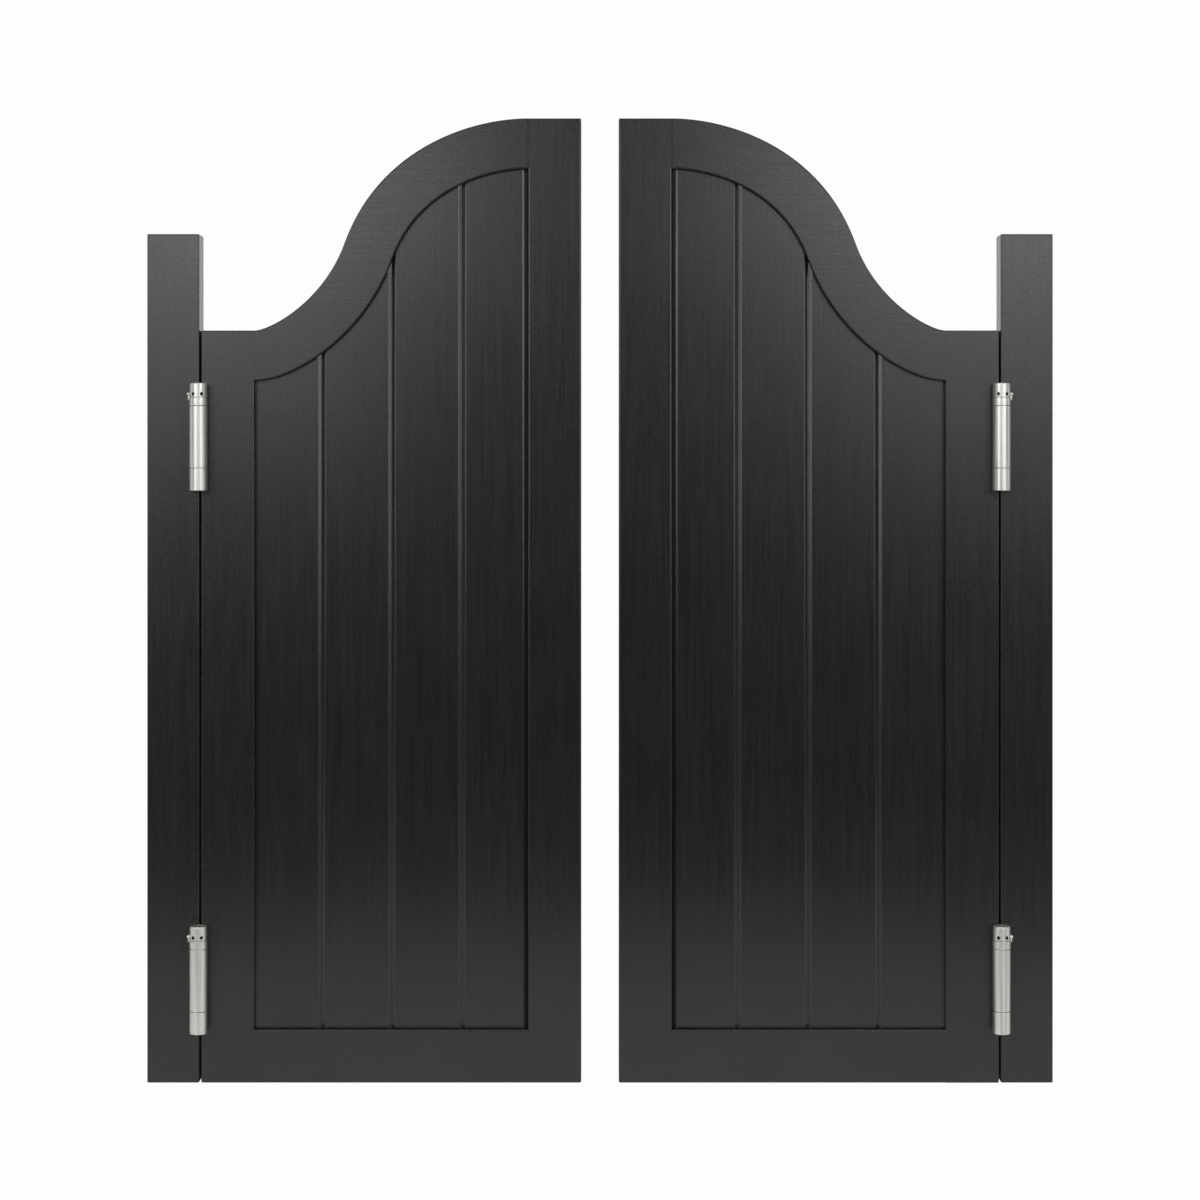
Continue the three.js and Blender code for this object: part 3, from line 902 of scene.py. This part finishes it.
    def _board(self, number: int) -> None:
        """Fills a board's V joints with paint to their drawn depth and rounds their arrises.

        Args:
            number: The board's number from the hinge side.
        """
        node = self._node(f"board_{number}")
        mesh = loose_mesh(node)
        for vertex in mesh.verts:
            if abs(abs(vertex.co.y) - self.vee_foot) < NEAR:
                depth = 0.0 if abs(vertex.co.x) > self.square_edge else self.vee_depth
                vertex.co.y = math.copysign(self.half_board - depth, vertex.co.y)
        bmesh.ops.dissolve_limit(mesh, angle_limit=FLAT, verts=mesh.verts, edges=mesh.edges)
        arrises = [
            edge
            for edge in mesh.edges
            if all(abs(v.co.y) > self.half_board - NEAR for v in edge.verts)
            and abs(edge.verts[0].co.x - edge.verts[1].co.x) < NEAR
            and edge.calc_face_angle(0.0) > math.radians(self.board_arris_angle)
        ]
        bmesh.ops.bevel(
            mesh,
            geom=arrises,
            offset=self.board_ease,
            segments=self.board_ease_segments,
            profile=0.5,
            affect="EDGES",
            clamp_overlap=True,
        )
        made = finished_object(
            f"{node}_timber", mesh, self.finishes.upright_pine, self.board_sharp
        )
        hang(made, self._door(), [node])


@dataclass(frozen=True)
class HingeForm:
    """A form of the hinge that is drawn once, with its finish and the darker steel that paints shade into
    its drilled holes.
    """

    mesh: bmesh.types.BMesh
    material: bpy.types.Material
    slot: str
    inside: bpy.types.Material | None = None


@dataclass(frozen=True)
class HingeSpot:
    """One barrel of one hinge."""

    side: Side
    place: Place
    barrel: Barrel

    @property
    def hinge(self) -> str:
        """The start of the names of the hinge's nodes."""
        return f"{self.side.word}_{self.place.name.lower()}"

    @property
    def tension(self) -> str:
        """The start of the names of the barrel's spring, collar and pin."""
        return f"{self.hinge}_{self.barrel.name.lower()}"


@dataclass
class SpringHinge:
    """The metal of a double-action spring hinge, drawn for the upper left one and carried to the rest.

    X is measured from the middle of the gap, and Z from the foot of the barrel.
    """

    finishes: Finishes
    gap_middle: float = 414.5
    barrel_offset: float = 26.0
    barrel_radius: float = 9.25
    bore_radius: float = 7.75
    journal_radius: float = 7.3
    metal_ease: float = 0.6
    # Heights along a barrel.
    knuckle: Point = (0.0, 23.0)
    tube: Point = (23.3, 87.3)
    ring: Point = (87.6, 96.1)
    collar: Point = (96.4, 110.9)
    # The plates, and the necks that run from them into the barrels.
    leaf_thickness: float = 1.5
    leaf_height: float = 96.1
    leaf_ease: float = 0.2
    outer_leaf_x: Point = (-2.5, -1.0)
    outer_leaf_y: Point = (-15.0, 11.0)
    centre_leaf_half: float = 15.0
    neck_start: float = 8.0
    neck_lap: float = 1.5
    tube_lap: float = 1.0
    # The pivot under a tube, and the plug that holds it there.
    pivot_foot: float = 1.5
    pivot_chamfer: float = 0.5
    plug: Point = (8.0, 16.0)
    plug_play: float = 0.05
    # The collar, its shank, its dished top and its ring of holes.
    collar_radius: float = 9.0
    collar_round: float = 1.3
    collar_round_steps: int = 5
    collar_chamfer: float = 0.3
    collar_sides: int = 64
    shank_length: float = 19.0
    dish_rim: float = 0.6
    dish_wall: float = 0.3
    dish_depth: float = 0.12
    hole_count: int = 6
    hole_height: float = 99.6
    hole_radius: float = 1.8
    hole_depth: float = 4.0
    hole_chamfer: float = 0.5
    hole_chamfer_depth: float = 0.3
    hole_rim: float = 0.35
    hole_sides: int = 20
    # The tension pin, and the lug that it bears on.
    pin_heading: float = 180.0
    pin_radius: float = 1.5
    pin_span: Point = (5.3, 12.0)
    pin_round: float = 0.7
    pin_round_angles: tuple[float, ...] = (0.0, 0.5, 1.0, 1.35)
    pin_sides: int = 24
    stop_heading: float = 161.88
    stop_span: Point = (9.55, 11.55)
    stop_heights: Point = (93.6, 101.1)
    stop_width: float = 3.0
    stop_ease: float = 0.3
    stop_root: float = 1.0
    stop_step: float = 0.4
    # The screws, as radius and depth from the point to the head, and the countersinks that they sit in.
    screw_places: tuple[Point, ...] = ((-7.0, 13.0), (3.0, 36.37), (-7.0, 59.73), (3.0, 83.1))
    screw_section: tuple[Point, ...] = (
        (0.76, -14.0),
        (1.9, -11.0),
        (1.9, -2.2),
        (3.75, -0.45),
        (3.9, -0.3),
        (3.65, -0.1),
    )
    screw_sides: int = 32
    screw_turn: float = 0.7
    recess_low: Spot = (-2.2, -0.42, -1.2)
    recess_high: Spot = (2.2, 0.42, 0.9)
    recess_ease: float = 0.12
    recess_turn: float = 0.4
    sink_section: tuple[Point, ...] = ((2.3, -2.5), (2.3, -1.4), (4.15, 0.0), (4.4, 0.4))
    sink_sides: int = 28

    def build(self) -> None:
        """Builds the hinge's forms once and hangs them at all four places."""
        satin, bright = self.finishes.satin_steel, self.finishes.bright_steel
        centre_leaf = HingeForm(self._centre_leaf(), satin, "satin_steel")
        outer_leaf = HingeForm(self._outer_leaf(), satin, "satin_steel")
        collar = HingeForm(self._collar(), satin, "satin_steel", self.finishes.spring_steel)
        pin = HingeForm(self._pin(), bright, "bright_steel")
        screws = HingeForm(self._screws(), bright, "bright_steel")
        for side, place in itertools.product(Side, Place):
            front = HingeSpot(side, place, Barrel.FRONT)
            self._hang(centre_leaf, front, f"{front.hinge}_centre_leaf", f"{side.word}_centre")
            for spot in (front, HingeSpot(side, place, Barrel.REAR)):
                fixed = spot.barrel is Barrel.FRONT
                carrier = "posts" if fixed else f"{side.word}_door"
                leaf = f"{spot.hinge}_{'jamb' if fixed else 'door'}_leaf"
                wound = f"{spot.tension}_tension"
                self._hang(outer_leaf, spot, leaf, carrier)
                self._hang(collar, spot, f"{spot.tension}_collar", wound)
                self._hang(pin, spot, f"{spot.tension}_pin", wound)
                self._hang(screws, spot, f"{leaf}_screws", carrier)
                self._oil_spring(f"{spot.tension}_spring")
        for form in (centre_leaf, outer_leaf, collar, pin, screws):
            form.mesh.free()

    def _hang(self, form: HingeForm, spot: HingeSpot, name: str, body: str) -> None:
        """Carries a copy of a form to its place.

        Args:
            form: The form, in the hinge's own frame.
            spot: The barrel that it belongs to.
            name: The node that it stands for, or its own name where no node has it.
            body: The body that carries it.
        """
        shift = Matrix.Translation((-self.gap_middle, 0, spot.place.value))
        mirror = Matrix.Diagonal((-spot.side.value, 1, 1, 1))
        turn = Matrix.Rotation(spot.barrel.value, 4, "Z")
        mesh = form.mesh.copy()
        bmesh.ops.transform(mesh, matrix=mirror @ shift @ turn, verts=mesh.verts)
        if spot.side is Side.RIGHT:
            bmesh.ops.reverse_faces(mesh, faces=mesh.faces)
        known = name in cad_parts
        made = finished_object(f"{name}_steel" if known else name, mesh, form.material)
        if form.inside:
            made.data.materials.append(form.inside)
        hang(made, body, [name] if known else [])

    def _oil_spring(self, node: str) -> None:
        """Gives a spring's own solid its oiled steel.

        Args:
            node: The spring's node.
        """
        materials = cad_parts[node].data.materials
        materials.clear()
        materials.append(self.finishes.spring_steel)
        LOG.info("%s keeps its solid", node)

    def _on_axis(self) -> Matrix:
        """Where the front barrel's axis stands."""
        return Matrix.Translation((0, -self.barrel_offset, 0))

    def _wall(self, span: Point) -> list[Point]:
        """Gives the section of a barrel's wall between two heights."""
        return eased_profile(self.bore_radius, self.barrel_radius, span, self.metal_ease)

    def _outer_leaf(self) -> bmesh.types.BMesh:
        """Builds the plate with its countersunk holes, the knuckle, the ring and the pin's stop.

        Returns:
            The form of a jamb leaf.
        """
        mesh = bmesh.new()
        x0, x1 = self.outer_leaf_x
        y0, y1 = self.outer_leaf_y
        add_block(mesh, (x0, y0, 0), (x1, y1, self.leaf_height), self.leaf_ease)
        cutter = bmesh.new()
        for depth, height in self.screw_places:
            face = Matrix.Translation((x1, depth, height))
            seat = face @ Matrix.Rotation(math.pi / 2, 4, "Y")
            add_turned(cutter, self.sink_section, False, seat, self.sink_sides)
        mesh = carved(mesh, cutter)
        neck = -self.barrel_offset + self.neck_start
        for z0, z1 in (self.knuckle, self.ring):
            add_block(mesh, (x0, neck, z0), (x1, y0 + self.neck_lap, z1), self.leaf_ease)
            add_turned(mesh, self._wall((z0, z1)), True, self._on_axis())
        self._add_stop(mesh)
        return mesh

    def _add_stop(self, mesh: bmesh.types.BMesh) -> None:
        """Adds the lug that the pin bears on.

        Args:
            mesh: The leaf's mesh.
        """
        lug = bmesh.new()
        half = self.stop_width / 2
        inner, outer = self.stop_span
        low, high = self.stop_heights
        root, step = inner - self.stop_root, outer - self.stop_step
        add_block(lug, (inner, -half, low), (outer, half, high), self.stop_ease)
        add_block(lug, (root, -half, low), (step, half, self.leaf_height), self.stop_ease)
        turn = self._on_axis() @ Matrix.Rotation(math.radians(self.stop_heading), 4, "Z")
        bmesh.ops.transform(lug, matrix=turn, verts=lug.verts)
        joined_into(mesh, lug)

    def _centre_leaf(self) -> bmesh.types.BMesh:
        """Builds the middle plate with both long tubes and their pivots.

        Returns:
            The form of a centre leaf.
        """
        mesh = bmesh.new()
        half, width = self.leaf_thickness / 2, self.centre_leaf_half
        add_block(mesh, (-half, -width, 0), (half, width, self.leaf_height), self.leaf_ease)
        z0, z1 = self.tube
        reach = self.barrel_offset - self.barrel_radius + self.tube_lap
        add_block(mesh, (-half, -reach, z0), (half, reach, z1), self.leaf_ease)
        plug_radius = self.bore_radius - self.plug_play
        plug_low, plug_high = (z0 + height for height in self.plug)
        pivot = [
            (self.journal_radius - self.pivot_chamfer, self.pivot_foot),
            (self.journal_radius, self.pivot_foot + self.pivot_chamfer),
            (self.journal_radius, plug_low),
            (plug_radius, plug_low),
            (plug_radius, plug_high),
        ]
        for barrel in Barrel:
            axis = Matrix.Rotation(barrel.value, 4, "Z") @ self._on_axis()
            add_turned(mesh, self._wall(self.tube), True, axis)
            add_turned(mesh, pivot, False, axis)
        return mesh

    def _collar(self) -> bmesh.types.BMesh:
        """Builds the capped tension collar with its ring of holes, whose walls take the darker second
        steel as painted shade.

        Returns:
            The form of a front collar.
        """
        z0, z1 = self.collar
        r, e, chamfer = self.collar_radius, self.collar_round, self.collar_chamfer
        foot = [
            (self.journal_radius, z0 - self.shank_length),
            (self.journal_radius, z0),
            (r - chamfer, z0),
            (r, z0 + chamfer),
        ]
        cap = [
            (r - e * (1 - math.cos(a)), z1 - e * (1 - math.sin(a)))
            for a in quarter_turn(self.collar_round_steps)
        ]
        rim = r - e - self.dish_rim
        dish = [(rim, z1), (rim - self.dish_wall, z1 - self.dish_depth)]
        mesh = bmesh.new()
        add_turned(mesh, foot + cap + dish, False, self._on_axis(), self.collar_sides)
        drilled = [
            (self.hole_radius, r - self.hole_depth),
            (self.hole_radius, r - self.hole_chamfer_depth),
            (self.hole_radius + self.hole_chamfer, r - self.hole_chamfer_depth + self.hole_chamfer),
        ]
        drills = bmesh.new()
        for i in range(self.hole_count):
            heading = self.pin_heading + 360 * i / self.hole_count
            add_turned(drills, drilled, False, self._across(heading), self.hole_sides)
        mesh = carved(mesh, drills)
        # Walls deep in the holes take the darker steel: painted shade.
        for face in mesh.faces:
            middle = self._on_axis().inverted() @ face.calc_center_median()
            shaded_hole_wall = abs(middle.z - self.hole_height) < self.hole_radius
            face.material_index = int(shaded_hole_wall and middle.xy.length < r - self.hole_rim)
        return mesh

    def _across(self, heading: float) -> Matrix:
        """Where the axis of a hole or pin lies, out from the barrel's axis.

        Args:
            heading: Its turn in degrees from X.

        Returns:
            The frame whose Z runs out along it.
        """
        height = Matrix.Translation((0, 0, self.hole_height))
        turn = Matrix.Rotation(math.radians(heading), 4, "Z")
        return self._on_axis() @ turn @ height @ Matrix.Rotation(math.pi / 2, 4, "Y")

    def _pin(self) -> bmesh.types.BMesh:
        """Builds the tension pin with its rounded end.

        Returns:
            The form of a front pin.
        """
        start, end = self.pin_span
        r, e = self.pin_radius, self.pin_round
        tip = [(r * math.cos(a), end - e + e * math.sin(a)) for a in self.pin_round_angles]
        mesh = bmesh.new()
        add_turned(mesh, [(r, start), *tip], False, self._across(self.pin_heading), self.pin_sides)
        return mesh

    def _screws(self) -> bmesh.types.BMesh:
        """Builds a leaf's countersunk screws with their cross recesses.

        Returns:
            The four screws of a jamb leaf.
        """
        screw = bmesh.new()
        add_turned(screw, self.screw_section, False, None, self.screw_sides)
        recess = bmesh.new()
        for turn in (0.0, math.pi / 2):
            slot = bmesh.new()
            add_block(slot, self.recess_low, self.recess_high, self.recess_ease)
            heading = Matrix.Rotation(turn + self.recess_turn, 4, "Z")
            bmesh.ops.transform(slot, matrix=heading, verts=slot.verts)
            joined_into(recess, slot)
        screw = carved(screw, recess)
        mesh = bmesh.new()
        for i, (depth, height) in enumerate(self.screw_places):
            seat = Matrix.Translation((self.outer_leaf_x[1], depth, height))
            driven = Matrix.Rotation(self.screw_turn * i, 4, "Z")
            copy = screw.copy()
            place = seat @ Matrix.Rotation(math.pi / 2, 4, "Y") @ driven
            bmesh.ops.transform(copy, matrix=place, verts=copy.verts)
            joined_into(mesh, copy)
        screw.free()
        return mesh


@dataclass
class Softbox:
    """A square soft lamp that hangs at one place and faces another."""

    name: str
    place: Spot
    towards: Spot
    size: Point
    watts: float

    def build(self) -> None:
        """Hangs the lamp."""
        lamp = bpy.data.lights.new(self.name, "AREA")
        lamp.shape = "RECTANGLE"
        lamp.size, lamp.size_y = self.size
        lamp.energy = self.watts
        made = bpy.data.objects.new(self.name, lamp)
        made.location = self.place
        heading = Vector(self.towards) - Vector(self.place)
        made.rotation_euler = heading.to_track_quat("-Z", "Y").to_euler()
        made.visible_camera = False
        bpy.context.scene.collection.objects.link(made)
        LOG.info("%s hangs at %s", self.name, self.place)


@dataclass
class Studio:
    """The paper, the card, the room's light, the lamps and the camera."""

    room: str = "#323232"
    background: str = "#ffffff"
    paper_front: float = -0.85
    paper_back: float = 7.0
    paper_half: float = 7.0
    paper_height: float = 6.0
    sweep: float = 1.5
    sweep_steps: int = 12
    card_section: tuple[Point, ...] = ((0.8, -0.005), (3.3, -0.005), (3.3, 4.0))
    card_spread: float = 75.0
    card_steps: int = 24
    camera_distance: float = 2.595
    camera_height: float = 0.6374
    camera_shift: float = -0.11
    sensor: float = 36.0
    lens: float = 74.67

    def build(self) -> None:
        """Sets up the whole studio."""
        self._paper()
        self._card()
        self._room()
        for lamp in self._lamps():
            lamp.build()
        self._camera()

    def _lamps(self) -> list[Softbox]:
        """Chooses the lamps.

        Returns:
            Small boxes for the tops of the doors, a wing each side for the edges, and a soft overhead.
        """
        lamps: list[Softbox] = []
        for side in Side:
            s, half = side.value, side.word
            lamps += [
                Softbox(f"post_box_{half}", (0.72 * s, -1.6, 1.12), (0.4 * s, 0, 0.85), (0.36, 0.32), 0.4),
                Softbox(f"rail_box_{half}", (0.52 * s, -1.6, 1.2), (0.3 * s, 0, 0.87), (0.66, 0.4), 2.5),
                Softbox(f"face_box_{half}", (0.62 * s, -1.6, 0.95), (0.35 * s, 0, 0.75), (0.5, 0.6), 1.5),
                Softbox(f"wing_{half}", (1.57 * s, -1.975, 1.15), (0, -0.88, 1.0), (1.16, 1.4), 20),
            ]
        lamps.append(Softbox("overhead", (0, -0.3, 2.7), (0, 0, 0), (2.4, 1.2), 6))
        return lamps

    def _paper(self) -> None:
        """Lays the paper on the floor and sweeps it up behind."""
        bend = self.paper_back - self.sweep
        curve = [
            (bend + self.sweep * math.sin(a), self.sweep * (1 - math.cos(a)))
            for a in quarter_turn(self.sweep_steps)
        ]
        profile = [(self.paper_front, 0.0), *curve, (self.paper_back, self.paper_height)]
        rows = [[(x, y, z) for x in (-self.paper_half, self.paper_half)] for y, z in profile]
        stage_sheet("studio_paper", rows, StudioPaper().material())

    def _card(self) -> None:
        """Stands a curved card round the front, out of sight, which glows with the room's dim grey as
        painted light, so that the black paint mirrors it and stays deep.

        Its foot runs in under the paper's front edge.
        """
        turns = range(self.card_steps + 1)
        angles = [math.radians(self.card_spread * (2 * i / self.card_steps - 1)) for i in turns]
        rows = [
            [(r * math.sin(a), -r * math.cos(a), z) for a in angles] for r, z in self.card_section
        ]
        card = stage_sheet("grey_card", rows, GlowingGreyCard(self.room).material())
        card.visible_camera = False

    def _room(self) -> None:
        """Fills the room with a dim grey light, and shows it white to the camera and in the metal."""
        world = bpy.data.worlds.new("plain_room")
        world.use_nodes = True
        tree = world.node_tree
        tree.nodes.clear()
        shown = background_rays(tree)
        grey, white = (
            add_node(tree, "ShaderNodeBackground", {"Color": linear(colour), "Strength": 1.0})
            for colour in (self.room, self.background)
        )
        both = add_node(
            tree, "ShaderNodeMixShader", None, {0: (shown, 0), 1: (grey, 0), 2: (white, 0)}
        )
        add_node(tree, "ShaderNodeOutputWorld", None, {"Surface": (both, 0)})
        bpy.context.scene.world = world

    def _camera(self) -> None:
        """Stands the camera square to the doors."""
        data = bpy.data.cameras.new("camera")
        data.lens = self.lens
        data.sensor_width = self.sensor
        data.shift_y = self.camera_shift
        camera = bpy.data.objects.new("camera", data)
        camera.location = (0, -self.camera_distance, self.camera_height)
        camera.rotation_euler = (math.pi / 2, 0, 0)
        bpy.context.scene.collection.objects.link(camera)
        bpy.context.scene.camera = camera
        bpy.context.scene.view_settings.view_transform = "Standard"


def main() -> None:
    """Builds the woodwork, the hinges and the studio in order."""
    logging.basicConfig(level=logging.INFO, format="%(name)s: %(message)s")
    finishes = Finishes.mixed()
    for side in Side:
        Woodwork(side, finishes).build()
    SpringHinge(finishes).build()
    Studio().build()


if __name__ == "__main__":
    main()
